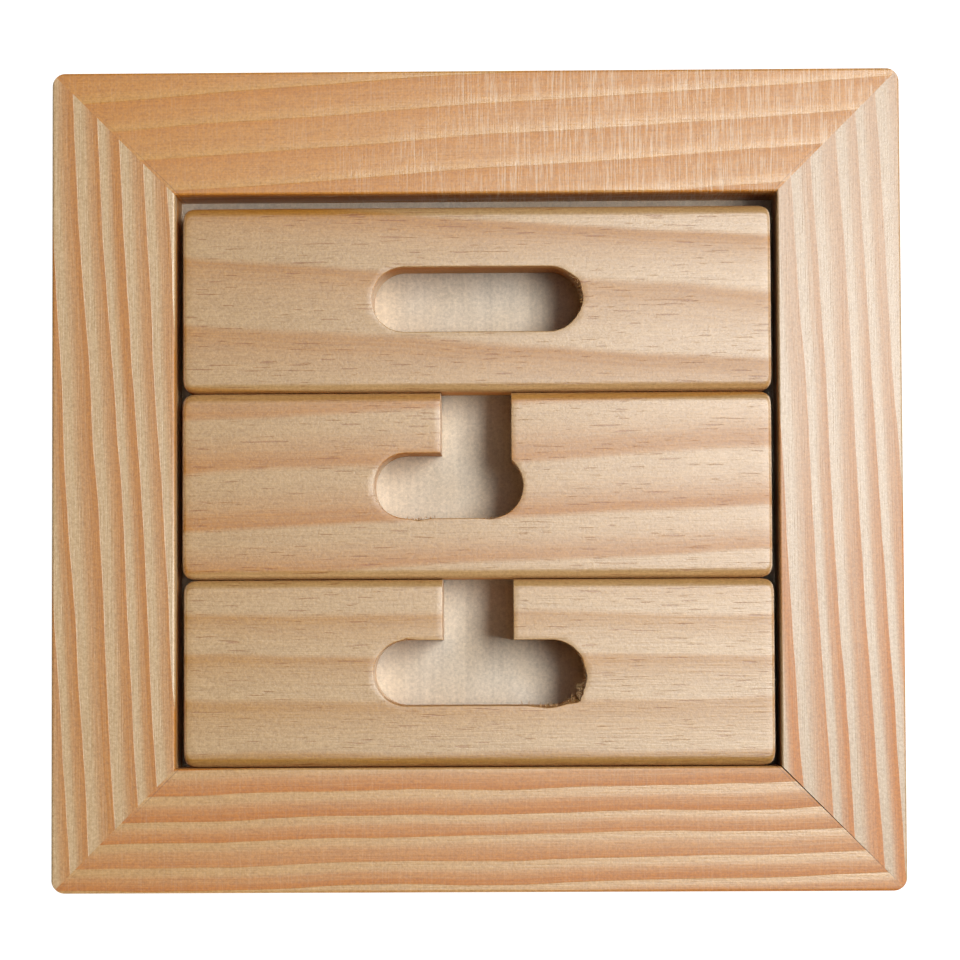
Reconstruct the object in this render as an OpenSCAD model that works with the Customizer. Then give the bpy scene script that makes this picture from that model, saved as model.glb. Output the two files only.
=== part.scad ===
// Wooden three-board puzzle in its tray.
// Three pine boards of one size, each with a different slot, lie side by side in a mitred pine tray with
// a plywood floor. Lifted out, they pass through each other's slots and lock into a cross.
// Frame: origin at the centre of the tray's underside, X along the boards, +Y to the rear, Z up.

/* [Tray] */
// Outside width of the tray, along X
tray_w = 130; // [110:1:160]
// Outside depth of the tray, along Y
tray_d = 125.6; // [125.2:0.2:160]
// Width of a rail, seen from above
rail_w = 18.9; // [16:0.1:19]
// Height of a rail
rail_h = 15; // [14.8:0.2:24]
// Radius of the eased long edges of a rail
rail_arris = 0.4; // [0.3:0.1:1.5]
// Radius of the tray's upright corners
corner_r = 2.2; // [1:0.1:3]
// How far the front right mitre has opened at its inner end
open_mitre = 0.25; // [0:0.05:0.4]

/* [Floor panel] */
// Thickness of the plywood floor
panel_t = 3.2; // [2:0.2:4]
// Height of the panel's upper face above the underside
floor_z = 4.6; // [4:0.2:5]
// Width of the rebate that the panel sits in
rebate_w = 6; // [5:0.5:6]
// Gap between the panel's edge and the rebate
panel_gap = 0.2; // [0.1:0.1:0.5]

/* [Boards] */
// Length of a board
board_l = 90.2; // [88:0.1:91]
// Width of a board
board_w = 28.5; // [27:0.1:28.8]
// Thickness of a board, a little under the width of a slot
board_t = 9.4; // [8:0.1:9.6]
// Radius along a board's long edges
board_edge_r = 2; // [1:0.1:3]
// Radius across a board's ends
board_end_r = 0.8; // [0.8:0.1:2.4]
// Radius of a board's corners, seen from above
board_corner_r = 1.6; // [1:0.1:3]
// Gap between neighbouring boards, and between the front board and its rail
seam = 0.12; // [0.1:0.01:0.25]

/* [Slots] */
// Diameter of the cutter, which is the width of a slot
cutter_d = 10; // [9:0.1:11]
// Length of a full slot, end to end
slot_l = 32.2; // [31:0.1:36]
// Width of the channel from a slot to the board's rear edge
channel_w = 10.8; // [10:0.1:12]
// How far the channel is off the board's middle
channel_x = -0.1; // [-1:0.1:1]
// How far the hook's short end runs past the board's middle
hook_end = 6.8; // [6:0.1:10]
// How far right of the board's middle the hook's slot is centred
hook_shift = 0.3; // [-1:0.1:1]

/* [Fixings] */
// Length of one leg of a mitre nail
vnail_leg = 4; // [3:0.5:4.5]
// Thickness of a mitre nail's steel
vnail_t = 0.6; // [0.4:0.1:0.8]
// Height of a mitre nail
vnail_h = 10; // [7:1:12]
// Diameter of a panel pin
pin_d = 1.2; // [0.8:0.1:1.4]
// Diameter of a panel pin's head
pin_head_d = 2.2; // [1.8:0.1:2.6]
// Length of a panel pin
pin_l = 10; // [8:1:12]

/* [Hidden] */
$fn = 64;

// Derived sizes
cavity_w = tray_w - 2 * rail_w;
cavity_d = tray_d - 2 * rail_w;
panel_w = cavity_w + 2 * (rebate_w - panel_gap);
panel_d = cavity_d + 2 * (rebate_w - panel_gap);
// The underside of the panel
panel_z = floor_z - panel_t;
// How far each nail's point is set in from the tray's outside faces, and how deep its edge is sunk
vnail_in = [6, 11];
vnail_sink = 0.15;
pin_head_t = 0.6;
// The pin line's distance out from the tray's inner wall, and the pins' spacing along each side
pin_out = rebate_w / 2;
pin_step_x = 34;
pin_step_y = 31;
// Sideways offsets of the front, middle and rear boards as they lie in the tray
board_dx = [0.2, 0, 0.1];
slot_r = cutter_d / 2;
// How far a cutting tool runs past the face that it cuts
past = 1;

pine = "burlywood";
pale_pine = "wheat";
birch = "antiquewhite";
steel = "silver";

// ---- shared shapes ----

// A bar along X with a rounded section: y and z sizes given, all four long edges rounded to r.
module round_bar(length, y, z, r) {
    translate([-length / 2, -y / 2 + r, -z / 2]) cube([length, y - 2 * r, z]);
    translate([-length / 2, -y / 2, -z / 2 + r]) cube([length, y, z - 2 * r]);
    for (sy = [-1, 1], sz = [-1, 1])
        translate([-length / 2, sy * (y / 2 - r), sz * (z / 2 - r)])
            rotate([0, 90, 0]) cylinder(h = length, r = r);
}

// An upright block with rounded corners, centred in plan, standing on z = 0.
module round_plan(x, y, z, r) {
    translate([0, 0, z / 2]) rotate([0, 90, 0]) round_bar(z, y, x, r);
}

// A row of copies at -step, 0 and step along X.
module three_along_x(step) {
    for (i = [-1:1]) translate([i * step, 0, 0]) children();
}

// ---- tray ----

// A straight rail along X before it is mitred: outer face at y = 0, inner face at y = rail_w.
module moulding(length) {
    a = rail_arris;
    difference() {
        union() {
            translate([-length / 2, a, 0]) cube([length, rail_w - 2 * a, rail_h]);
            translate([-length / 2, 0, a]) cube([length, rail_w, rail_h - 2 * a]);
            translate([-length / 2, rail_w - 2 * a, 0]) cube([length, 2 * a, rail_h - a]);
            for (at = [[a, a], [a, rail_h - a], [rail_w - a, rail_h - a]])
                translate([-length / 2, at[0], at[1]]) rotate([0, 90, 0]) cylinder(h = length, r = a);
        }
        translate([-length / 2 - past, rail_w - rebate_w, -past])
            cube([length + 2 * past, rebate_w + past, floor_z + past]);
    }
}

// The rail cut to its mitres. left_open and right_open pull each mitre's inner end back.
module mitred(length, left_open, right_open) {
    intersection() {
        moulding(length);
        translate([0, 0, -past]) linear_extrude(rail_h + 2 * past) polygon([
            [-length / 2, 0],
            [length / 2, 0],
            [length / 2 - rail_w - right_open, rail_w],
            [-length / 2 + rail_w + left_open, rail_w]]);
    }
}

// One mitre nail: a steel V whose point faces the middle of the tray, at the front left corner.
module vnail(inset) {
    translate([inset, inset, vnail_sink]) linear_extrude(vnail_h) polygon([
        [0, 0], [-vnail_leg, 0], [-vnail_leg, -vnail_t], [-vnail_t, -vnail_t],
        [-vnail_t, -vnail_leg], [0, -vnail_leg]]);
}

// The pair of nails in one corner; sx and sy are the signs of the corner.
module vnail_pair(sx, sy) {
    mirror([sx > 0 ? 1 : 0, 0, 0]) mirror([0, sy > 0 ? 1 : 0, 0])
        translate([-tray_w / 2, -tray_d / 2, 0]) for (inset = vnail_in) vnail(inset);
}

// The slots that the two nails of a corner leave, open at the underside.
module vnail_pocket(sx, sy) {
    vnail_pair(sx, sy);
    translate([0, 0, -vnail_sink]) vnail_pair(sx, sy);
}

// One panel pin, driven up from the panel's underside.
module pin() {
    translate([0, 0, panel_z]) {
        cylinder(h = pin_l, d = pin_d);
        cylinder(h = pin_head_t, d = pin_head_d);
    }
}

module pins_x(sy) {
    translate([0, sy * (cavity_d / 2 + pin_out), 0]) three_along_x(pin_step_x) pin();
}

module pins_y(sx) {
    translate([sx * (cavity_w / 2 + pin_out), 0, 0]) rotate([0, 0, 90]) three_along_x(pin_step_y) pin();
}

module front_rail() {
    color(pine) difference() {
        intersection() {
            translate([0, -tray_d / 2, 0]) mitred(tray_w, 0, open_mitre / 2);
            round_plan(tray_w, tray_d, rail_h, corner_r);
        }
        vnail_pocket(-1, -1);
        vnail_pocket(1, -1);
        pins_x(-1);
    }
}

module rear_rail() {
    color(pine) difference() {
        intersection() {
            mirror([0, 1, 0]) translate([0, -tray_d / 2, 0]) mitred(tray_w, 0, 0);
            round_plan(tray_w, tray_d, rail_h, corner_r);
        }
        vnail_pocket(-1, 1);
        vnail_pocket(1, 1);
        pins_x(1);
    }
}

module left_rail() {
    color(pine) difference() {
        intersection() {
            rotate([0, 0, -90]) translate([0, -tray_w / 2, 0]) mitred(tray_d, 0, 0);
            round_plan(tray_w, tray_d, rail_h, corner_r);
        }
        vnail_pocket(-1, -1);
        vnail_pocket(-1, 1);
        pins_y(-1);
    }
}

module right_rail() {
    color(pine) difference() {
        intersection() {
            rotate([0, 0, 90]) translate([0, -tray_w / 2, 0]) mitred(tray_d, open_mitre / 2, 0);
            round_plan(tray_w, tray_d, rail_h, corner_r);
        }
        vnail_pocket(1, -1);
        vnail_pocket(1, 1);
        pins_y(1);
    }
}

module floor_panel() {
    color(birch) difference() {
        translate([-panel_w / 2, -panel_d / 2, panel_z]) cube([panel_w, panel_d, panel_t]);
        for (s = [-1, 1]) {
            pins_x(s);
            pins_y(s);
        }
    }
}

// ---- boards ----

// A plain board with eased edges, centred in plan, its underside on z = 0.
module blank() {
    intersection() {
        translate([0, 0, board_t / 2]) round_bar(board_l + past, board_w, board_t, board_edge_r);
        translate([0, 0, board_t / 2]) rotate([0, 0, 90])
            round_bar(board_w + past, board_l, board_t, board_end_r);
        translate([0, 0, -past]) round_plan(board_l, board_w, board_t + 2 * past, board_corner_r);
    }
}

// A slot cut right through, with round ends, from x = left to x = right.
module slot(left, right) {
    translate([0, 0, -past]) {
        for (x = [left + slot_r, right - slot_r])
            translate([x, 0, 0]) cylinder(h = board_t + 2 * past, d = cutter_d);
        translate([left + slot_r, -slot_r, 0]) cube([right - left - cutter_d, cutter_d, board_t + 2 * past]);
    }
}

// The channel from the slot out through the rear edge.
module channel() {
    translate([channel_x - channel_w / 2, 0, -past]) cube([channel_w, board_w, board_t + 2 * past]);
}

// Puts a board in its place: row 0 is at the front, 2 at the rear.
module in_tray(row) {
    y = -cavity_d / 2 + seam + board_w / 2 + row * (board_w + seam);
    translate([board_dx[row], y, floor_z]) children();
}

module tee_slot_board() {
    color(pale_pine) in_tray(0) difference() {
        blank();
        slot(-slot_l / 2, slot_l / 2);
        channel();
    }
}

module hook_slot_board() {
    color(pale_pine) in_tray(1) difference() {
        blank();
        slot(hook_shift - slot_l / 2, hook_shift + hook_end);
        channel();
    }
}

module closed_slot_board() {
    color(pale_pine) in_tray(2) difference() {
        blank();
        slot(-slot_l / 2, slot_l / 2);
    }
}

front_rail();
rear_rail();
left_rail();
right_rail();
color(steel) vnail_pair(-1, -1);  // mitre_nails_front_left
color(steel) vnail_pair(1, -1);  // mitre_nails_front_right
color(steel) vnail_pair(-1, 1);  // mitre_nails_rear_left
color(steel) vnail_pair(1, 1);  // mitre_nails_rear_right
floor_panel();
color(steel) pins_x(-1);  // panel_pins_front
color(steel) pins_x(1);  // panel_pins_rear
color(steel) pins_y(-1);  // panel_pins_left
color(steel) pins_y(1);  // panel_pins_right
closed_slot_board();
hook_slot_board();
tee_slot_board();
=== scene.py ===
# %% [markdown]
# # A wooden puzzle box
#
# A square tray of four mitred pine rails holds three loose pine boards that lie side by side on a thin
# plywood floor. Each board has a routed opening of its own: a closed slot, a hook and a tee. The lesson
# goes from the tools to the finishes, then to the pieces, the light and the camera.
#
# ## The frame
#
# The tray, its floor and its fixings come ready made, in metres, around the centre of the tray's underside.
# Their sizes could be typed in again here, but two copies of a number drift apart, so places are worked out
# from the frame's own boxes. Wood is easier to think about in millimetres, so the shapes below are in
# millimetres.

# %% The frame
import math

import bpy
import numpy as np
from mathutils import Matrix, Vector


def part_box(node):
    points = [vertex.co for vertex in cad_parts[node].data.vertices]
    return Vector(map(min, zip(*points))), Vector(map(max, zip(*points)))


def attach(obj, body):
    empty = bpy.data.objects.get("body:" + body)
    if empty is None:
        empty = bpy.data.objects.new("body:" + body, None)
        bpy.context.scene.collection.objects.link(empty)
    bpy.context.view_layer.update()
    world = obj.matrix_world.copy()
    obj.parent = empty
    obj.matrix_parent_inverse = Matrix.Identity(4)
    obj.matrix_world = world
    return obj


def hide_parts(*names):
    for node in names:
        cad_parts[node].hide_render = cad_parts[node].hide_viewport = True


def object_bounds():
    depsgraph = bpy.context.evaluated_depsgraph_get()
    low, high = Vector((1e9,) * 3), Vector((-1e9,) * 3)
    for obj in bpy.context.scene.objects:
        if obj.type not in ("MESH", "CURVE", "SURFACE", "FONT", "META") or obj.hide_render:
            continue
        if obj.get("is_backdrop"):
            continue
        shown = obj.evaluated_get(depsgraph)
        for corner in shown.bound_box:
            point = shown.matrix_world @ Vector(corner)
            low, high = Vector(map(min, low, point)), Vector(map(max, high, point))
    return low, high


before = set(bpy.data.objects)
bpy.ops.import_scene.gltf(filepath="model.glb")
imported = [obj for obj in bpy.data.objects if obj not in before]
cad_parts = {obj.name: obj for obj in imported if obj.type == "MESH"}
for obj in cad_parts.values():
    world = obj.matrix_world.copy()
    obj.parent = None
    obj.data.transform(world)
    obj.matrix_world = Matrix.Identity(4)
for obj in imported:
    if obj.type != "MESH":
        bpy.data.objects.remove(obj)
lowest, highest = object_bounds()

MM = 0.001
front_low, front_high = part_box("front_rail")
# The front rail's tips in x, which the rounded corners cut a little short, its outer side and its upper face
TIP = front_high.x / MM
HALF_D = -front_low.y / MM
RIM = front_high.z / MM
print("tray", [round((b - a) / MM, 2) for a, b in zip(lowest, highest)], "mm")

# %% [markdown]
# ## Shader arithmetic
#
# A finish is a formula over the surface. `Field` stands for a value that varies from place to place and
# takes the ordinary operators, so that the growth rings below read as they would on paper. The nodes could
# be placed and linked one by one, but then a formula of ten terms takes thirty lines, and nobody can see
# what it says.


# %% Fields
class Field:
    """One output socket of a shader node, with arithmetic. Scalars use Math nodes, vectors use Vector Math
    nodes."""

    def __init__(self, shader, socket):
        self.shader, self.socket = shader, socket
        self.is_vector = socket.type in ("VECTOR", "RGBA")

    def combine(self, operation, *terms):
        vector = any(isinstance(t, Field) and t.is_vector for t in terms)
        if vector:
            terms = [t if isinstance(t, Field) else (t, t, t) if np.isscalar(t) else t for t in terms]
        kind = "VectorMath" if vector else "Math"
        return self.shader.node(kind, *enumerate(terms), operation=operation)

    def __add__(self, other):
        return self.combine("ADD", self, other)

    def __radd__(self, other):
        return self.combine("ADD", other, self)

    def __sub__(self, other):
        return self.combine("SUBTRACT", self, other)

    def __rsub__(self, other):
        return self.combine("SUBTRACT", other, self)

    def __mul__(self, other):
        return self.combine("MULTIPLY", self, other)

    def __rmul__(self, other):
        return self.combine("MULTIPLY", other, self)

    def __truediv__(self, other):
        return self.combine("DIVIDE", self, other)

    def __abs__(self):
        return self.combine("ABSOLUTE", self)

    def sqrt(self):
        return self.combine("SQRT", self)

    def floor(self):
        return self.combine("FLOOR", self)

    def fraction(self):
        return self.combine("FRACT", self)

    def lowest(self, other):
        return self.combine("MINIMUM", self, other)

    def highest(self, other):
        return self.combine("MAXIMUM", self, other)

    def split(self):
        """The three parts of a vector, as scalars."""
        return [self.shader.node("SeparateXYZ", (0, self), out=i) for i in range(3)]

    def step(self, low, high):
        """0 below low, 1 above high, and a smooth S between them."""
        return self.shader.node("MapRange", ("Value", self), ("From Min", low), ("From Max", high),
                                interpolation_type="SMOOTHSTEP")


print("a field takes + - * / abs sqrt floor fraction lowest highest split step")


# %% Shaders
class Shader:
    """A material whose Principled surface is fed by fields."""

    def __init__(self, name, **constants):
        self.material = bpy.data.materials.new(name)
        self.material.use_nodes = True
        self.tree = self.material.node_tree
        self.surface = self.tree.nodes["Principled BSDF"]
        for socket, value in constants.items():
            self.surface.inputs[socket.replace("_", " ")].default_value = value

    def node(self, kind, *inputs, out=0, **settings):
        """Any node of the shader editor: inputs are (socket, value) pairs, settings are its own
        properties."""
        made = self.tree.nodes.new("ShaderNode" + kind)
        for key, value in settings.items():
            setattr(made, key, value)
        for key, value in inputs:
            self.feed(made.inputs[key], value)
        return Field(self, made.outputs[out])

    def feed(self, socket, value):
        """Gives a socket its value: a link from a field, or else a plain number, vector or colour."""
        if isinstance(value, Field):
            self.tree.links.new(value.socket, socket)
        elif socket.type == "RGBA":
            socket.default_value = (*value[:3], 1.0)
        else:
            socket.default_value = value

    def millimetres(self):
        """The place of each point in the piece's own frame, in millimetres."""
        return self.node("TexCoord", out="Object") * (1 / MM)

    def vector(self, x, y, z):
        return self.node("CombineXYZ", (0, x), (1, y), (2, z))

    def noise(self, place, detail=2.0, roughness=0.5):
        """Smooth noise around 0, about -0.5 to 0.5, with features one unit of place across."""
        return self.node("TexNoise", ("Vector", place), ("Scale", 1.0), ("Detail", detail),
                         ("Roughness", roughness)) - 0.5

    def streaks(self, grain, size, shift, detail=2.0, roughness=0.5):
        """Noise drawn out along the wood. grain holds the place along it, across it and upward, size is a
        streak's length and width in mm, and shift moves the pattern, so that no two pieces are alike."""
        length, width = size
        return self.noise(grain / (length, width, width) + shift, detail, roughness)

    def chance(self, value):
        """A fixed random number from 0 to 1 for each whole number."""
        return self.node("TexWhiteNoise", ("W", value), noise_dimensions="1D")

    def mix(self, share, a, b):
        """Colour a where share is 0, colour b where it is 1."""
        made = self.tree.nodes.new("ShaderNodeMix")
        made.data_type = "RGBA"
        for key, value in ((0, share), (6, a), (7, b)):
            self.feed(made.inputs[key], value)
        return Field(self, made.outputs[2])

    def finish(self, colour, roughness, relief, depth):
        """Connects the surface. relief is a height field from 0 to 1, and depth its size in millimetres."""
        self.feed(self.surface.inputs["Base Color"], colour)
        self.feed(self.surface.inputs["Roughness"], roughness)
        bump = self.node("Bump", ("Height", relief), ("Distance", depth * MM), ("Strength", 1.0),
                         out="Normal")
        self.feed(self.surface.inputs["Normal"], bump)
        return self.material


def linear(r, g, b):
    """A colour given as 0-255 display values, in the linear light that the shader works in."""
    c = np.array([r, g, b]) / 255
    return tuple(float(v) for v in np.where(c > 0.04045, ((c + 0.055) / 1.055) ** 2.4, c / 12.92))


print("mid grey is", round(linear(128, 128, 128)[0], 3), "in linear light")

# %% [markdown]
# ## Pine
#
# A pine board is a slice of a trunk. The trunk's growth rings are nearly cylinders around its pith: `r =
# distance to the pith line`, `ring number = floor(r / width)`, `age = fraction(r / width)`. Each ring
# begins pale (the spring wood), darkens to orange through the summer and stops abruptly. A Wave texture
# could draw such bands, but it makes them all alike and puts nothing on the end grain. This field colours
# the faces, the edges and the end grain alike, because it is a function of space and not of a face.
#
# Over the rings lie finer marks: bundles of fibres and single fibres drawn out along the grain, pores,
# short brown resin canals, the hazy scratches that a sander leaves across the grain, and a faint line of
# glue beside each mitre. Over the right of the rear rail, where the scratches are strongest, their pale
# colour is partly a painted sheen.

# %% Numbers for the wood
# The length and width in mm of each kind of mark
WANDER = (34, 13)
RIPPLE = (9, 2.2)
FIBRE = (14, 0.30)
THREAD = (2.6, 0.16)
CANAL = (5, 0.32)
SCRATCH = (0.26, 7)
HAIR = (55, 0.33)
PORE = 0.42
# The colours of the spring and summer wood where a saw has cut across the grain
SAWN_SPRING = (232, 210, 182)
SAWN_SUMMER = (190, 142, 92)
# How far the wood's relief stands up, in mm
WOOD_RELIEF = 0.07
print("single fibres are", THREAD[1], "mm wide, resin canals", CANAL[0], "mm long")


# %% Growth rings
def growth_rings(s, grain, pith, ring, lean, phase, waver, unevenness, seed):
    """The ring number and age at each point, the distance r from the pith, and the slow and quick noise
    that bends it. r = sqrt((v - pith across - lean * u)^2 + (z - pith height)^2), where u runs along the
    grain, v across it and z up. rings = r / ring, stretched and squeezed by noise along r, so that no two
    years are alike."""
    u, v, z = grain.split()
    slow = s.streaks(grain, WANDER, (7.7 * seed, 0, 0), 1.0)
    quick = s.streaks(grain, RIPPLE, (3.1 * seed, 0, 0))
    across = v - pith[0] - lean * u
    height = z - pith[1]
    r = (across * across + height * height).sqrt() + waver * (2.6 * slow + 0.55 * quick)
    uneven = s.noise(s.vector(r / (2.3 * ring) + 11 * seed, 0.0, 0.0), 0.0)
    rings = r / ring + unevenness * uneven + phase
    return rings.floor(), rings.fraction(), r, slow, quick


def latewood(s, number, age, turn, close, strength, seed):
    """How dark the wood is, 0 to about 1: it rises through the ages in turn, rises again late in the
    summer, and falls back to 0 over the last part of the ring, close. Some years are darker than others."""
    rise = 0.7 * age.step(*turn) + 0.35 * age.step(0.5, 0.95)
    return rise * (1 - age.step(1 - close, 1.0)) * (strength * (0.82 + 0.3 * s.chance(number + 17 * seed)))


def mitre_line(s, x, y, slow):
    """The share of dark glue: a faint line close beside each mitre, on the front and rear rails, where the
    distances in from the rail's tip and from its outer side are equal. It fades towards the outer corner."""
    off = (TIP - abs(x)) - (HALF_D - abs(y))
    inner = (TIP - abs(x)).step(6, 18)
    line = (1 - abs(off).step(0.04, 0.14)) * (0.15 + 0.75 * inner) * (0.5 + 1.4 * slow)
    return line.highest(0.0).lowest(0.8)


print("rings, summer wood and mitres are ready")


# %% Pine
def pine(name, along, pith, ring, spring, summer, seed, lean=0.0, phase=0.0, turn=(0.22, 0.62), close=0.04,
         strength=1.0, strengthens=None, waver=0.35, unevenness=0.55, canals=0.7, combing=0.0, combed=None,
         mitred=False, end_grain=0.0, dull=0.17):
    """A piece of pine cut along 'x' or 'y'. pith = (across, height) of the trunk's centre and ring is a
    ring's width, in mm; lean is how far the pith moves across for each mm along, and phase shifts the
    rings. turn is the ages at which a ring darkens, close the last part of the ring over which it pales
    again. strengthens = (from, to), in mm along, is where the dark grows to its full strength. waver is how
    far the rings wander in mm, and unevenness how much their widths differ. canals is how dark the resin
    canals are. combing is how strong the pale lines across the grain are, and combed(s, u, v) where they
    lie: the sander's scratches and, where they are strongest, partly a painted sheen. end_grain is the share
    of sawn colour on the ends, and with it the upright faces are made warmer as a painted warm bounce light.
    dull is how much rougher the summer wood is than the spring wood."""
    s = Shader(name, IOR=1.5)
    place = s.millimetres()
    x, y, z = place.split()
    u, v = (x, y) if along == "x" else (y, x)
    grain = s.vector(u, v, z)
    number, age, r, slow, quick = growth_rings(s, grain, pith, ring, lean, phase, waver, unevenness, seed)
    darkness = latewood(s, number, age, turn, close, strength, seed)
    if strengthens:
        darkness = darkness * (0.34 + 0.68 * u.step(*strengthens))
    hair = s.noise(s.vector(r / HAIR[1] + 31 * seed, u / HAIR[0], 0.0), 2.0, 0.6)
    darkness = (darkness + hair * (0.25 + 0.55 * darkness)).highest(0.0)

    fibre = s.streaks(grain, FIBRE, (0, 5 * seed, 0), 3.0, 0.62)
    thread = s.streaks(grain, THREAD, (0, 0, 9 * seed), 2.0, 0.6)
    speck = s.noise(place / PORE, 3.0, 0.75)
    colour = s.mix(darkness, linear(*spring), linear(*summer))
    tone = 0.30 * fibre + (0.20 + 0.14 * (along == "x")) * thread + 1.2 * speck + 0.12 * quick
    colour = colour * (s.vector(tone * 0.8, tone, tone * 1.35) + (1, 1, 1))
    if end_grain:
        facing = s.node("NewGeometry", out="Normal").split()
        upright = 1 - abs(facing[2]).step(0.1, 0.6)
        cut = abs(facing[0]).step(0.3, 0.85) * end_grain
        # Upright faces, such as the walls of the openings, are made warmer and less blue: a painted warm
        # bounce light.
        colour = s.mix(upright, colour, colour * (1.10, 0.93, 0.70))
        sawn = s.mix(0.8 * darkness, linear(*SAWN_SPRING), linear(*SAWN_SUMMER))
        colour = s.mix(cut, colour, sawn * (1 + 1.6 * speck + 0.5 * quick))
    canal = s.streaks(grain, CANAL, (seed, 0, 0), 1.0).step(0.165, 0.23) * canals
    colour = s.mix(canal, colour, colour * (0.66, 0.46, 0.30))
    if mitred:
        colour = s.mix(mitre_line(s, x, y, slow), colour, (0.10, 0.04, 0.015))

    relief = 0.5 + 0.35 * fibre + 0.25 * thread + 0.3 * speck + 0.22 * darkness - 0.25 * canal
    rough = 0.37 + dull * darkness + 0.05 * speck
    if end_grain:
        rough = rough + 0.35 * upright * (1 - cut)
    if combing:
        comb = s.streaks(grain, SCRATCH, (0, 0, seed), 3.0, 0.75)
        where = combing if combed is None else combing * combed(s, u, v)
        lines = (comb.step(-0.05, 0.28) * where).lowest(1.0)
        # The pale lines are the sander's scratches and, where they are strongest, partly a painted sheen.
        colour = s.mix(lines, colour, colour * 0.5 + (0.38, 0.30, 0.21))
        relief = relief - 0.35 * comb * where
    return s.finish(colour, rough, relief, WOOD_RELIEF)


def mostly_right(s, u, v):
    """Where the pale lines across the grain lie: strong over the right of the rear rail and weak at its
    left.
    They are the sander's scratches and, over the right, partly a painted sheen.
    """
    patch = s.noise(s.vector(u / 11, v / 9, 3.0), 1.0)
    return (u + 60 * patch).step(-30, 25) * (1.0 + 1.2 * patch) + 0.12


print("pine takes", pine.__code__.co_argcount, "settings")

# %% [markdown]
# ## Seven pieces of pine
#
# The four rails and three boards came from different planks, so each has its own pith, ring width and
# colours. The rails have narrow orange rings. The boards are paler, with broad rings that fade in and out.
# One wood for all seven would be quicker, but then the grain would run on from piece to piece, as it never
# does in a made thing. Colours are display values.

# %% Woods
RAIL = {"mitred": True, "canals": 0.12}
BOARD_WOOD = {"along": "x", "end_grain": 0.85}
WOODS = {
    "left_rail": pine("pine_left_rail", "y", pith=(-110, -10), ring=3.1, lean=-0.057, phase=0.49, seed=1.0,
                      spring=(199, 168, 124), summer=(182, 117, 30), unevenness=0.9, waver=0.5, **RAIL),
    "front_rail": pine("pine_front_rail", "x", pith=(0, -20), ring=2.95, lean=0.02, phase=0.03, seed=2.0,
                       spring=(195, 152, 95), summer=(184, 110, 6), turn=(0.14, 0.56), combing=0.25,
                       unevenness=0.7, waver=0.55, dull=0.2, **RAIL),
    "right_rail": pine("pine_right_rail", "y", pith=(-6, -16), ring=3.2, lean=-0.055, phase=0.77, seed=3.0,
                       spring=(180, 152, 114), summer=(192, 118, 36), unevenness=1.1, waver=0.5,
                       strengthens=(45, -60), dull=0.18, **RAIL),
    "rear_rail": pine("pine_rear_rail", "x", pith=(10, -20), ring=3.8, lean=0.065, phase=0.47, seed=4.0,
                      spring=(197, 143, 68), summer=(189, 121, 24), turn=(0.0, 0.4), combing=1.9,
                      combed=mostly_right, dull=0.14, **RAIL),
    "closed_slot_board": pine("pine_closed_board", pith=(-60, -60), ring=7.0, lean=-0.065, phase=0.19,
                              seed=5.0, spring=(182, 147, 99), summer=(171, 116, 36), turn=(0.0, 0.95),
                              close=0.14, waver=0.6, dull=0.1, **BOARD_WOOD),
    "hook_slot_board": pine("pine_hook_board", pith=(60, -40), ring=5.8, lean=0.037, phase=0.33,
                            seed=6.0, spring=(184, 148, 99), summer=(174, 113, 22), turn=(0.15, 0.8),
                            close=0.14, strength=0.9, waver=0.6, dull=0.08, **BOARD_WOOD),
    "tee_slot_board": pine("pine_tee_board", pith=(-90, -40), ring=5.2, phase=0.97,
                           seed=7.0, spring=(187, 153, 106), summer=(174, 124, 50), turn=(0.0, 0.95),
                           close=0.18, waver=0.7, dull=0.05, **BOARD_WOOD),
}
print(len(WOODS), "woods:", ", ".join(WOODS))

# %% [markdown]
# ## Plywood and steel
#
# The floor is birch plywood. Its face veneer is peeled from the log, so it has no rings, only fine streaks
# that run from front to rear and a slow cloud of warmer and cooler white. It is left matt, because it was
# never waxed. The nails and pins are bright drawn steel. They show only from below, so a grey metal with a
# little uneven polish is enough, and no map of scratches is made.


# %% Plywood and steel
def birch_ply(name):
    """The floor: two whites mixed by a cloud, then streaked. streak is 0.8 mm wide and 22 mm long."""
    s = Shader(name, IOR=1.45, Specular_IOR_Level=0.1)
    place = s.millimetres()
    streak = s.noise(place / (0.8, 22, 1), 3.0, 0.6)
    cloud = s.noise(place / (9, 14, 1), 2.0)
    speck = s.noise(place / 0.4, 3.0, 0.75)
    colour = s.mix(0.5 + 1.6 * cloud, linear(210, 202, 187), linear(211, 194, 168))
    colour = colour * (1 + 0.32 * streak + 0.9 * speck)
    return s.finish(colour, 0.55 + 0.1 * speck, 0.5 + 0.4 * streak + 0.3 * speck, 0.04)


def bright_steel(name):
    """Grey metal whose shade and polish vary over specks 0.3 mm across."""
    s = Shader(name, Metallic=1.0)
    speck = s.noise(s.millimetres() / 0.3, 2.0, 0.6)
    colour = s.mix(0.5 + speck, (0.42, 0.42, 0.43), (0.6, 0.6, 0.6))
    return s.finish(colour, 0.34 + 0.2 * speck, 0.5 + speck, 0.01)


PLY = birch_ply("birch_plywood")
STEEL = bright_steel("bright_steel")
for name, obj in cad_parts.items():
    obj.data.materials.clear()
    obj.data.materials.append(WOODS.get(name) or (PLY if name == "floor_panel" else STEEL))
print("finishes on", len(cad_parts), "pieces")

# %% [markdown]
# ## The loose boards
#
# A board is built in four parts that meet edge to edge.
#
# 1. The rim: a profile carried around the outline.
# 2. The opening's wall, carried along the cutter's path.
# 3. The eased edge between the wall and the face.
# 4. The two faces, triangulated inside the curves that the other parts leave.
#
# A box with a boolean cut and a bevel would be shorter. But a boolean leaves long thin triangles that shade
# badly beside the slot, a bevel has one radius all round, and neither knows where the cutter tore the wood.

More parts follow.
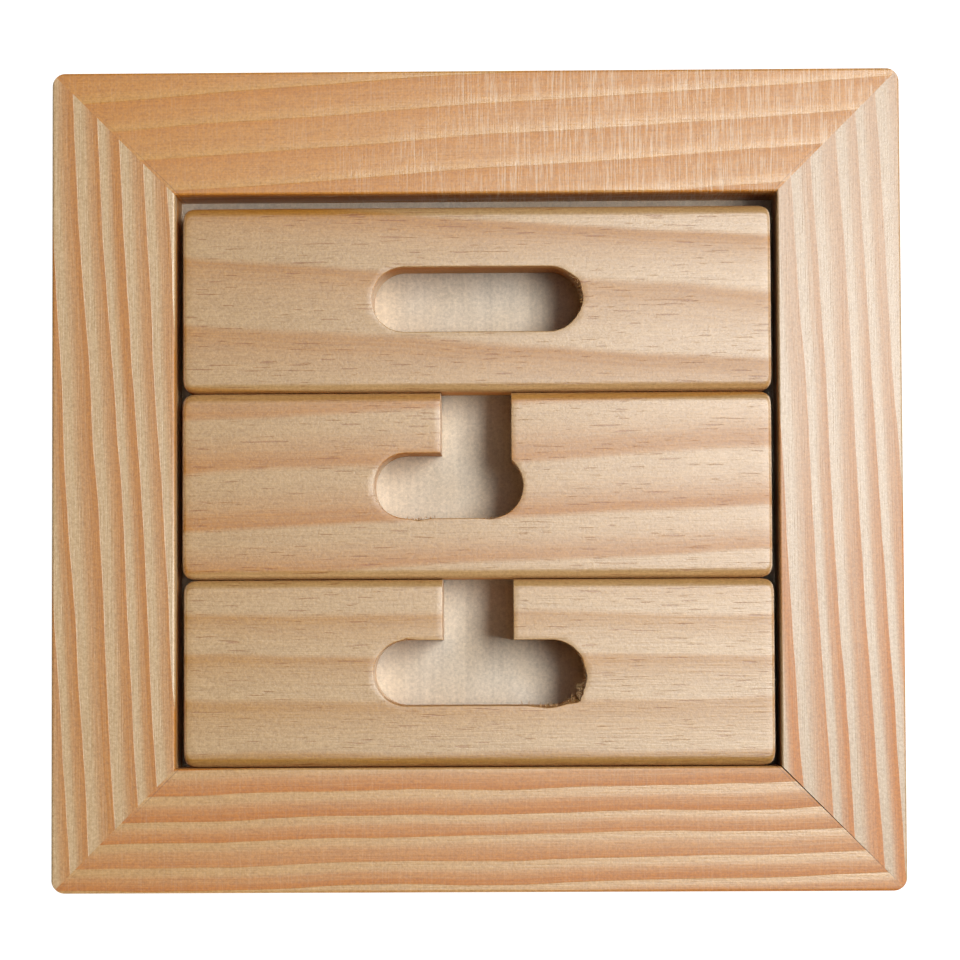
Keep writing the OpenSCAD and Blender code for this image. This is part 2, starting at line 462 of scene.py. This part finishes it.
# %% Numbers for the boards
# reach: from a corner's centre out to the outline. flat: how far in the rim goes. side_r and end_r: the
# round-overs along the sides and across the ends. ease: the softened edge of the opening. All in mm.
BOARD = {"reach": 3.2, "flat": 2.8, "side_r": 1.5, "end_r": 0.6, "ease": 0.14}
CUTTER_R = 5.0
# A full slot runs this far to each side of the board's middle
SLOT_HALF = 16.1
# The left and right ends in x of the channel and of the hook's slot
CHANNEL = (-5.5, 5.3)
HOOK = (-15.8, 7.1)
# Points along a quarter of a corner, across a round-over, around a slot's end, and down the opening's wall
CORNER_POINTS = 15
ROUND_POINTS = 11
TURN_POINTS = 37
WALL_POINTS = 14
# The spacing of the points along an outline, and of the net inside a face, in mm
EDGE_STEP = 0.9
NET_STEP = 0.8
print("slots", 2 * CUTTER_R, "mm wide, channels", round(CHANNEL[1] - CHANNEL[0], 2), "mm wide")

# %% [markdown]
# ## The rim
#
# The sanded outer edge is a quarter round that turns from a larger radius along the sides to a smaller one
# across the ends. With `c` the corner's centre, `d` the direction out and `e` the distance in from the
# outline, each point is `c + (reach - e) * d`. In a corner `d` runs along a superellipse,
# `|x|^4 + |y|^4 = 1`. A circle is simpler, but a superellipse stays fuller, as a corner does when it is
# sanded by hand, and has no crease where it ends.


# %% Rim
def straight(start, end):
    """Points between start and end, about EDGE_STEP apart, without the two ends."""
    return np.linspace(start, end, max(2, int(abs(end - start) / EDGE_STEP)))[1:-1]


def side(xs, ys, direction, r):
    """Rows of corner centre, direction and radius along a straight side. One of xs and ys is a single
    number."""
    n = max(np.size(xs), np.size(ys))
    return np.column_stack([np.broadcast_to(xs, n), np.broadcast_to(ys, n), np.tile(direction, (n, 1)),
                            np.full(n, r)])


def corner(centre, signs, order):
    """The same rows around a corner. d = (sqrt(cos q), sqrt(sin q)) for q from 0 to a quarter turn, and the
    radius goes from side_r to end_r with cos^2 q. order is -1 where q falls along the way."""
    q = np.linspace(0, np.pi / 2, CORNER_POINTS)[::order]
    d = np.stack([np.sqrt(np.abs(np.cos(q))), np.sqrt(np.sin(q))], 1) * signs
    r = BOARD["side_r"] + (BOARD["end_r"] - BOARD["side_r"]) * np.cos(q) ** 2
    return np.column_stack([np.tile(np.multiply(centre, signs), (CORNER_POINTS, 1)), d, r])


def edge_path(hx, hy, mouth):
    """Corner centres c, directions d and round-over radii along the outline, clockwise from the right side
    of the channel's mouth to its left side. mouth = (left, right) in x, equal where the board has no
    channel."""
    ax, ay = hx - BOARD["reach"], hy - BOARD["reach"]
    side_r, end_r = BOARD["side_r"], BOARD["end_r"]
    path = np.concatenate([
        side(np.r_[mouth[1], straight(mouth[1], ax)], ay, (0, 1), side_r),
        corner((ax, ay), (1, 1), -1),
        side(ax, straight(ay, -ay), (1, 0), end_r),
        corner((ax, ay), (1, -1), 1),
        side(straight(ax, -ax), -ay, (0, -1), side_r),
        corner((ax, ay), (-1, -1), -1),
        side(-ax, straight(-ay, ay), (-1, 0), end_r),
        corner((ax, ay), (-1, 1), 1),
        side(np.r_[straight(-ax, mouth[0]), mouth[0]], ay, (0, 1), side_r),
    ])
    return path[:, :2], path[:, 2:4], path[:, 4]


def round_over(e, r):
    """How far a rounded edge of radius r has dropped at a distance e in from the outline:
    r - sqrt(r^2 - (r - e)^2)."""
    t = np.clip(1 - e / r, 0, 1)
    return r - r * np.sqrt(1 - t * t)


def half_profile(r):
    """Distance in and drop along the upper half of the edge, for each radius: the flat, then the quarter
    round."""
    q = np.linspace(0, np.pi / 2, ROUND_POINTS)
    flat = BOARD["flat"] + (r[:, None] - BOARD["flat"]) * np.linspace(0, 1, 3)[None, :-1]
    return (np.concatenate([flat, r[:, None] * (1 - np.sin(q))], 1),
            np.concatenate([0 * flat, r[:, None] * (1 - np.cos(q))], 1))


def grid_faces(rows, columns):
    """The quads of a grid of points stored row by row."""
    a = (np.arange(rows - 1)[:, None] * columns + np.arange(columns - 1)[None, :]).ravel()
    return np.stack([a, a + 1, a + columns + 1, a + columns], 1)


def rim(hx, hy, t, mouth):
    """The rim of a board t thick: the profile's upper half, then the same half turned over, at every
    point."""
    c, d, r = edge_path(hx, hy, mouth)
    e, drop = half_profile(r)
    e = np.concatenate([e, e[:, ::-1]], 1)
    z = np.concatenate([t - drop, drop[:, ::-1]], 1)
    xy = c[:, None, :] + (BOARD["reach"] - e)[..., None] * d[:, None, :]
    points = np.concatenate([xy, z[..., None]], 2)
    return points, grid_faces(*points.shape[:2])


print("a rim profile has", 2 * half_profile(np.array([BOARD["side_r"]]))[0].size, "points")

# %% [markdown]
# ## The openings
#
# A round-nosed cutter made each opening in one pass, so its wall is a path of straight runs and half
# circles as wide as the cutter. The path holds, for each point, its place and the direction into the wood.
# That direction is all that is needed to ease the edge or to tear the wood back. The channel of the hook
# and of the tee comes in from the board's rear edge, so its path starts and ends on the rim's own points
# and the two parts weld together.


# %% Openings
def stretch(xs, ys, direction):
    """Rows of place and direction into the wood along a straight wall. One of xs and ys is a single
    number."""
    n = max(np.size(xs), np.size(ys))
    return np.column_stack([np.broadcast_to(xs, n), np.broadcast_to(ys, n), np.tile(direction, (n, 1))])


def turn(x, start, end):
    """The same rows around a slot's end: (x + R cos q, R sin q), for q from start to end without the
    first."""
    q = np.linspace(start, end, TURN_POINTS)[1:]
    way = np.stack([np.cos(q), np.sin(q)], 1)
    return np.column_stack([np.array([x, 0]) + CUTTER_R * way, way])


def closed_path():
    """Once around a closed slot, clockwise from the right end of its straight top."""
    lx, rx = CUTTER_R - SLOT_HALF, SLOT_HALF - CUTTER_R
    return np.concatenate([
        stretch(rx, CUTTER_R, (0.0, 1.0)),
        turn(rx, np.pi / 2, -np.pi / 2),
        stretch(np.linspace(rx, lx, 30)[1:], -CUTTER_R, (0.0, -1.0)),
        turn(lx, -np.pi / 2, -3 * np.pi / 2),
        stretch(np.linspace(lx, rx, 30)[1:], CUTTER_R, (0.0, 1.0)),
    ])


def open_path(left_end, right_end, hy):
    """From the right side of the channel's mouth around the slot to its left side. The right side of the
    channel meets the slot's straight top, or its round end at the height sqrt(R^2 - (channel - rx)^2) on
    the hook."""
    left, right = CHANNEL
    lx, rx = left_end + CUTTER_R, right_end - CUTTER_R
    on_round = right > rx
    meet = math.sqrt(CUTTER_R ** 2 - (right - rx) ** 2) if on_round else CUTTER_R
    first = math.acos((right - rx) / CUTTER_R) if on_round else math.pi / 2
    way = np.array([math.cos(first), math.sin(first)])
    rim_y = hy - half_profile(np.array([BOARD["side_r"]]))[0][0][::-1]
    inner_y = hy - BOARD["flat"]
    parts = [stretch(right, np.r_[rim_y, np.linspace(inner_y, meet, 12)[1:-1]], (1.0, 0.0)),
             stretch(right, meet, (np.array([1, 0]) + way) / (1 + way[0]))]
    if not on_round:
        parts.append(stretch(np.linspace(right, rx, 8)[1:], CUTTER_R, (0.0, 1.0)))
    parts += [turn(rx, first, -np.pi / 2),
              stretch(np.linspace(rx, lx, 26)[1:], -CUTTER_R, (0.0, -1.0)),
              turn(lx, -np.pi / 2, -3 * np.pi / 2),
              stretch(np.linspace(lx, left, 8)[1:-1], CUTTER_R, (0.0, 1.0)),
              stretch(left, CUTTER_R, (-1.0, 1.0)),
              stretch(left, np.r_[np.linspace(CUTTER_R, inner_y, 12)[1:-1], rim_y[::-1]], (-1.0, 0.0))]
    return np.concatenate(parts)


def opening_path(kind, hy):
    """Places and directions along the wall of a 'closed', 'hook' or 'tee' opening, in a board 2 hy wide."""
    ends = {"hook": HOOK, "tee": (-SLOT_HALF, SLOT_HALF)}
    path = closed_path() if kind == "closed" else open_path(*ends[kind], hy)
    return path[:, :2], path[:, 2:]


for kind in ("closed", "hook", "tee"):
    print(kind, "opening has", len(opening_path(kind, 14.25)[0]), "points")

# %% [markdown]
# ## Torn wood
#
# Where the cutter left the wood across the grain it broke some away, mostly in the lower right of the tee.
# A bump map would not change the outline of the hole, so the wall itself steps back: a few spots, each a
# bell curve of depth around a place on the wall, with a rough edge. The tears are deepest at the upper face
# and fade downwards. Loose fibres are left standing in the worst of them, as thin tapered blades.

# %% Numbers for the torn wood
# For each kind: x, y, size and depth of its tears, in mm
TEARS = {
    "closed": [(15.3, 2.6, 1.1, 0.34), (16.1, 0.2, 1.5, 0.22)],
    "hook": [(-9.0, -5.0, 1.2, 0.30), (1.8, -5.0, 0.8, 0.15)],
    "tee": [(14.6, -3.6, 1.5, 1.05), (15.9, -1.0, 1.6, 0.35), (10.5, -5.0, 2.2, 0.32),
            (-10.8, 5.0, 0.7, 0.25), (15.2, 2.4, 1.2, 0.15)],
}
FIBRES = {"closed": 90, "hook": 40, "tee": 220}
print("fibres:", FIBRES)


# %% Torn wood
def tear(p, kind, rng):
    """How far the wood broke away beyond the cutter's path at each point p: the sum over the tears of
    depth * exp(-(away / size)^2), made rough by a random share."""
    torn = np.zeros(len(p))
    for x, y, size, depth in TEARS[kind]:
        away = np.hypot(p[:, 0] - x, p[:, 1] - y) / size
        torn += depth * np.exp(-away ** 2) * rng.uniform(0.75, 1.25, len(p))
    torn += 0.02 * rng.standard_normal(len(p)) * (torn > 0.02)
    torn[-1] = torn[0]
    return torn


def splinters(p, n, torn, t, count, rng):
    """Fibres left standing where the wood tore: thin tapered blades that start on the wall and lean into
    the opening. At a share s of its length a blade's middle is start + way * s + curl * s^2. Each has 4
    stations along it and 3 points around each station."""
    at = rng.choice(len(p), count, p=torn / torn.sum())
    length = rng.uniform(0.25, 0.95, count) * np.clip(torn[at] / 0.35, 0.6, 1.5)
    z = t - rng.uniform(0.1, 3.4, count) ** 1.1
    start = p[at] + n[at] * (torn[at] * 0.9)[:, None] + rng.normal(0, 0.12, (count, 2))
    lean = -n[at] + rng.normal(0, 0.55, (count, 2)) * (1, 0.5)
    lean /= np.linalg.norm(lean, axis=1)[:, None]
    way = np.column_stack([lean, rng.normal(0.05, 0.35, count)])
    curl = rng.normal(0, 0.3, (count, 3))
    across = np.cross(way, (0, 0, 1.0))
    across /= np.linalg.norm(across, axis=1)[:, None]
    stations = np.linspace(0, 1, 4)
    s = stations[None, :, None]
    reach = length[:, None, None]
    line = (np.column_stack([start, z])[:, None, :] + way[:, None, :] * (s * reach)
            + curl[:, None, :] * (s ** 2 * reach))
    wide = rng.uniform(0.03, 0.09, count)[:, None, None] * (1.02 - stations)[None, :, None]
    around = np.stack([line + across[:, None, :] * wide, line - across[:, None, :] * wide,
                       line + np.array([0, 0, 0.7]) * wide], 2)
    base = np.arange(count)[:, None, None] * 12 + np.arange(3)[None, :, None] * 3
    k = np.arange(3)[None, None, :]
    quads = np.stack([base + k, base + (k + 1) % 3, base + 3 + (k + 1) % 3, base + 3 + k], -1)
    return around.reshape(-1, 3), quads.reshape(-1, 4)


print("deepest tear", max(depth for spots in TEARS.values() for _, _, _, depth in spots), "mm")

# %% [markdown]
# ## The flat faces
#
# A face is what is left between the rim and the opening. It could be one large polygon with a hole, but
# such a polygon shades unevenly and can't be worn hollow. So an even net of points is laid inside it, and a
# Delaunay triangulation joins the net to the outlines without changing a point of them.

# %% Faces
from mathutils.geometry import delaunay_2d_cdt


def inside(points, loops):
    """Even-odd test of points against closed loops: a point is inside if a ray from it crosses them an odd
    number of times."""
    hit = np.zeros(len(points), bool)
    for loop in loops:
        a, b = loop, np.roll(loop, -1, 0)
        crosses = (a[:, 1] > points[:, None, 1]) != (b[:, 1] > points[:, None, 1])
        slope = (b[:, 0] - a[:, 0]) / np.where(b[:, 1] == a[:, 1], 1, b[:, 1] - a[:, 1])
        x = a[:, 0] + (points[:, None, 1] - a[:, 1]) * slope
        hit ^= (np.sum(crosses & (points[:, None, 0] < x), 1) % 2).astype(bool)
    return hit


def distance(points, others):
    """How far each point is from the nearest of the others."""
    return np.min(np.hypot(points[:, None, 0] - others[:, 0], points[:, None, 1] - others[:, 1]), 1)


def face_sheet(loops, hx, hy):
    """A triangulated flat region between closed loops, with an even net of points inside it."""
    margin = BOARD["flat"] + 0.5
    xs, ys = np.meshgrid(np.arange(-hx + margin, hx - margin + 0.1, NET_STEP),
                         np.arange(-hy + margin, hy - margin + 0.1, NET_STEP))
    net = np.column_stack([xs.ravel(), ys.ravel()])
    net = net[inside(net, loops)]
    edge = np.concatenate(loops)
    net = net[distance(net, edge) > 0.45]
    sides, start = [], 0
    for loop in loops:
        i = np.arange(len(loop))
        sides += np.stack([start + i, start + (i + 1) % len(loop)], 1).tolist()
        start += len(loop)
    made = delaunay_2d_cdt([Vector(p) for p in np.concatenate([edge, net])], sides, [], 0, 1e-7)
    xy, triangles = np.array([tuple(v) for v in made[0]]), np.array(made[2])
    return xy, triangles[inside(xy[triangles].mean(1), loops)]


def worn(xy, hole, hx, hy, seed):
    """How far use has hollowed a face at each point: 0.018 |sin(x / 7.3) sin(y / 5.1)| mm, calmed to nothing
    towards the rim and the hole."""
    hollow = 0.018 * np.abs(np.sin(xy[:, 0] / 7.3 + seed) * np.sin(xy[:, 1] / 5.1 + 2 * seed))
    margin = BOARD["flat"] + 0.6
    from_rim = np.clip((np.array([hx, hy]) - margin - np.abs(xy)) / 3, 0, 1).prod(1)
    from_hole = np.clip((distance(xy, hole) - 0.1) / 2, 0, 1)
    return hollow * from_rim * from_hole


print("faces have a point every", NET_STEP, "mm")

# %% [markdown]
# ## Putting a board together
#
# Rim, wall, two faces and fibres are made around the board's own middle, moved to where the frame says the
# board lies, and welded into one mesh. They could stay separate objects, but then the seams between them
# would show as creases. The board rides on its own body, so it lifts out of the tray, and it stands for the
# plain board of the frame, which is hidden.

# %% Welding
import bmesh

# Points closer together than this, in metres, become one
WELD = 2e-6


def mesh_object(name, points, faces, material, smooth=40):
    """One mesh from several parts: welded where they meet, its faces turned outward, smooth up to an
    angle."""
    vertices = np.concatenate(points) * MM
    shift = np.cumsum([0] + [len(p) for p in points])
    polygons = [row for f, s in zip(faces, shift) for row in (f + s).tolist()]
    mesh = bpy.data.meshes.new(name)
    mesh.from_pydata(vertices.tolist(), [], polygons)
    work = bmesh.new()
    work.from_mesh(mesh)
    bmesh.ops.remove_doubles(work, verts=work.verts, dist=WELD)
    bmesh.ops.dissolve_degenerate(work, edges=work.edges, dist=1e-7)
    bmesh.ops.recalc_face_normals(work, faces=work.faces)
    for f in work.faces:
        f.smooth = True
    limit = math.radians(smooth)
    for e in work.edges:
        e.smooth = len(e.link_faces) == 2 and e.calc_face_angle(0) < limit
    work.to_mesh(mesh)
    work.free()
    mesh.materials.append(material)
    obj = bpy.data.objects.new(name, mesh)
    bpy.context.scene.collection.objects.link(obj)
    return obj


print("points within", WELD / MM, "mm are welded")


# %% Boards
def moved(p, n, by):
    """Points p moved by distances in their directions n, one column for each column of by."""
    return p[:, None, :] + n[:, None, :] * by[..., None]


def with_height(xy, z):
    """A grid of points from their places in plan and their heights."""
    return np.concatenate([xy, z[..., None]], 2)


def opening_wall(p, n, torn, t, hy, rng):
    """The wall as a grid, a row for each point of the path: an eased edge, out by ease * (1 - cos q) and
    down by ease * (1 - sin q), then the wall, and an eased edge to the lower face. Where the rim drops away
    at the channel's mouth, the wall's ends follow it. A tear keeps a fifth of its depth at the bottom."""
    q = np.linspace(0, np.pi / 2, 5)[None, :]
    out = BOARD["ease"] * (1 - np.cos(q))
    fall = BOARD["ease"] * (1 - np.sin(q))
    face_drop = round_over(hy - p[:, 1], BOARD["side_r"])[:, None]
    depth = torn[:, None]
    upper = with_height(moved(p, n, depth + out), t - face_drop - fall)[:, ::-1]
    lower = with_height(moved(p, n, 0.2 * depth + out), face_drop + fall)
    k = np.linspace(0, 1, WALL_POINTS)[None, 1:-1]
    ragged = 0.06 * rng.standard_normal((len(p), k.size)) * np.minimum(depth * 3, 1)
    top_z, low_z = upper[:, -1:, 2], lower[:, :1, 2]
    fading = depth * (0.2 + 0.8 * (1 - k) ** 1.7)
    between = with_height(moved(p, n, fading + ragged), top_z + (low_z - top_z) * k)
    return np.concatenate([upper, between, lower], 1)


def board(node, body, kind, seed):
    """A board with its opening, where the frame has the node, riding on the body."""
    low, high = (np.array(c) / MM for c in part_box(node))
    hx, hy, t = (high - low) * (0.5, 0.5, 1)
    middle = (low + high) / 2 * (1, 1, 0) + low * (0, 0, 1)
    rng = np.random.default_rng(seed)
    closed = kind == "closed"
    mouth = (0.0, 0.0) if closed else (CHANNEL[0] - BOARD["ease"], CHANNEL[1] + BOARD["ease"])
    edge, edge_faces = rim(hx, hy, t, mouth)
    p, n = opening_path(kind, hy)
    torn = tear(p, kind, rng)
    wall = opening_wall(p, n, torn, t, hy, rng)
    parts, faces = [edge, wall], [edge_faces, grid_faces(*wall.shape[:2])]
    outline = edge[:, 0, :2]
    for hole, z, inward in ((wall[:, 0, :2], t, -1), (wall[:, -1, :2], 0.0, 1)):
        if closed:
            loops = [outline[:-1], hole[:-1]]
        else:
            held = hole[:, 1] < hy - BOARD["flat"] + 1e-9
            loops = [np.concatenate([outline, hole[held][::-1][1:-1]])]
        xy, triangles = face_sheet(loops, hx, hy)
        parts.append(np.column_stack([xy, z + inward * worn(xy, hole, hx, hy, seed)]))
        faces.append(triangles)
    blades, quads = splinters(p, n, torn, t, FIBRES[kind], rng)
    parts = [np.reshape(q, (-1, 3)) + middle for q in parts + [blades]]
    obj = mesh_object(node + "_wood", parts, faces + [quads], WOODS[node])
    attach(obj, body)
    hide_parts(node)
    print(obj.name, len(obj.data.polygons), "faces")


board("closed_slot_board", "closed_board", "closed", 3)
board("hook_slot_board", "hook_board", "hook", 5)
board("tee_slot_board", "tee_board", "tee", 8)

# %% [markdown]
# ## Light
#
# The tray lies on a white table under a large soft window to the right, which throws the shadows leftwards
# into the slots. A sun lamp would light it as evenly, but its shadows would have hard edges. A second,
# small lamp nearly overhead adds only gloss: it shows where the hard summer wood is duller than the spring
# wood. A warm card far in front fills the shadows, as light does that has come off a warm wall. The
# surroundings glow faintly, and look white where they are seen beyond the table.

# %% Room
scene = bpy.context.scene
scene.view_settings.view_transform = "Standard"
world = bpy.data.worlds.new("room")
world.use_nodes = True
nodes, links = world.node_tree.nodes, world.node_tree.links
glow = nodes["Background"]
glow.inputs["Color"].default_value = (1.0, 0.82, 0.6, 1)
glow.inputs["Strength"].default_value = 0.035
backdrop = nodes.new("ShaderNodeBackground")
backdrop.inputs["Color"].default_value = (1, 1, 1, 1)
rays = nodes.new("ShaderNodeLightPath")
share = nodes.new("ShaderNodeMixShader")
links.new(rays.outputs["Is Camera Ray"], share.inputs[0])
links.new(glow.outputs[0], share.inputs[1])
links.new(backdrop.outputs[0], share.inputs[2])
links.new(share.outputs[0], nodes["World Output"].inputs[0])
scene.world = world
print("the room glows at", round(glow.inputs["Strength"].default_value, 3))


# %% Lamps
def square_to(back):
    """A side and an up direction square to back. The side is X with its part along back taken out."""
    side_way = (Vector((1, 0, 0)) - back * back.x).normalized()
    return side_way, back.cross(side_way)


def stance(side_way, up_way, back, place):
    """The matrix that stands a lamp or camera at a place, with its own x, y and z along the three
    directions."""
    columns = (*side_way, 0), (*up_way, 0), (*back, 0), (*place, 1)
    return Matrix(columns).transposed()


def softbox(name, place, size, watts, diffuse=True, colour=(1, 1, 1)):
    """A rectangular lamp that faces the tray. Without diffuse it adds gloss and nothing else."""
    lamp = bpy.data.lights.new(name, "AREA")
    lamp.shape = "RECTANGLE"
    lamp.size, lamp.size_y = size
    lamp.energy = watts
    lamp.color = colour
    obj = bpy.data.objects.new(name, lamp)
    scene.collection.objects.link(obj)
    back = Vector(place).normalized()
    obj.matrix_world = stance(*square_to(back), back, place)
    obj.visible_diffuse = diffuse
    print(name, watts, "W at", place)


softbox("key", (0.78, 0.22, 1.2), (0.56, 0.92), 23.0)
softbox("sheen", (0.14, 0.055, 0.6), (0.2, 0.24), 5.0, diffuse=False)
softbox("front_card", (0.1, -2.3, 0.85), (1.6, 0.7), 16.0, colour=(1.0, 0.74, 0.44))

# %% [markdown]
# ## Floor
#
# The table is a plain white sheet that glows a little, so that it stays white in the tray's shadow. It lies
# a hair below the tray, because two faces at exactly the same height flicker through each other. Seen from
# underneath it is clear, so the tray's own underside can be looked at. Hiding it for such a view would need
# a second scene.

# %% Floor
FLOOR_HALF = 6.0
FLOOR_GAP = 0.05 * MM
corners = [(x * FLOOR_HALF, y * FLOOR_HALF, -FLOOR_GAP) for x, y in ((-1, -1), (1, -1), (1, 1), (-1, 1))]
sheet_mesh = bpy.data.meshes.new("studio_floor")
sheet_mesh.from_pydata(corners, [], [(0, 1, 2, 3)])
floor = bpy.data.objects.new("studio_floor", sheet_mesh)
scene.collection.objects.link(floor)
white = Shader("white_floor", Roughness=0.9, Emission_Strength=1.0, Emission_Color=(1, 1, 1, 1))
white.feed(white.surface.inputs["Base Color"], (0.2, 0.2, 0.2))
lit = Field(white, white.surface.outputs[0])
underneath = white.node("NewGeometry", out="Backfacing")
clear = white.node("BsdfTransparent")
pane = white.node("MixShader", (0, underneath), (1, lit), (2, clear))
white.feed(white.tree.nodes["Material Output"].inputs["Surface"], pane)
floor.data.materials.append(white.material)
floor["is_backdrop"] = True
print("floor", 2 * FLOOR_HALF, "m wide")

# %% [markdown]
# ## Camera
#
# The camera looks almost straight down from half a metre, a little from the front and from the right, with
# a long lens. A wide lens held closer would frame the tray as well, but would spread its walls outwards.
# Tilting the view is told apart from turning the picture: `back` leans away from the vertical by the two
# tilts, and the roll then turns the picture about it.

# %% Camera
LENS = 123.75
SENSOR = 36
DISTANCE = 0.5037
TILT_X, TILT_Y, ROLL = math.radians(0.8), math.radians(2.8), math.radians(0.31)
aim = Vector((0.51, -0.15, RIM)) * MM
back = Vector((math.tan(TILT_X), -math.tan(TILT_Y), 1)).normalized()
rolled = Matrix.Rotation(-ROLL, 3, back)
side_way, up_way = (rolled @ way for way in square_to(back))
camera = bpy.data.objects.new("camera", bpy.data.cameras.new("camera"))
camera.data.lens = LENS
camera.data.sensor_width = SENSOR
camera.data.clip_start = 0.01
at = aim + back * DISTANCE
camera.matrix_world = stance(side_way, up_way, back, at)
scene.collection.objects.link(camera)
scene.camera = camera
print("camera at", [round(c, 4) for c in at])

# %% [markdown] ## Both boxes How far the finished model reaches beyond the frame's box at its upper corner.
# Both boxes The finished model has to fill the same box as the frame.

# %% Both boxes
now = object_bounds()
print("grown by", [round((b - a) / MM, 3) for a, b in zip(highest, now[1])], "mm at the upper corner")
